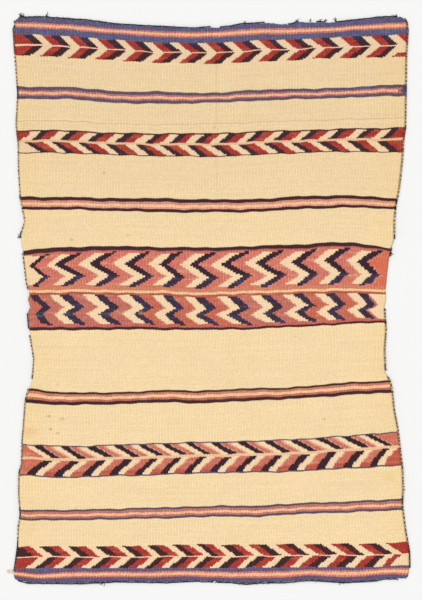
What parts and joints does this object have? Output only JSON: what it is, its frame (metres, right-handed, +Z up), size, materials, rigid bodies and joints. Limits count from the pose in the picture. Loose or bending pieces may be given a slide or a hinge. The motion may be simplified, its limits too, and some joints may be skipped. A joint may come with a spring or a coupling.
{
  "type": "banded wool blanket",
  "caption": "Flat handwoven wool blanket with cross bands of chevrons and stripes, drawn in at the waist, with twined cords left along its edges.",
  "frame": {"origin": "centre of the footprint, on the surface that the blanket lies on", "axes": "+Y along the length towards the top end, +X across to the right, +Z up out of the face"},
  "size_m": [1.2966, 1.8272, 0.008],
  "materials": {
    "banded_wool": "matt handspun wool in weft-faced tapestry weave",
    "indigo_cord": "matt two-strand twined wool cord",
    "pale_yarn": "matt loose handspun yarn"
  },
  "bodies": {
    "root": {"cloth": "banded_wool", "side_cord_left_1": "indigo_cord", "side_cord_left_2": "indigo_cord", "side_cord_left_3": "indigo_cord", "side_cord_left_4": "indigo_cord", "side_cord_left_5": "indigo_cord", "side_cord_right_1": "indigo_cord", "side_cord_right_2": "indigo_cord", "side_cord_right_3": "indigo_cord", "side_cord_right_4": "indigo_cord", "end_cord_top_1": "indigo_cord", "end_cord_top_2": "indigo_cord", "end_cord_top_3": "indigo_cord", "end_cord_top_4": "indigo_cord", "end_cord_top_5": "indigo_cord", "end_cord_bottom_1": "indigo_cord", "end_cord_bottom_2": "indigo_cord", "loose_weft_end": "pale_yarn"}
  },
  "joints": []
}
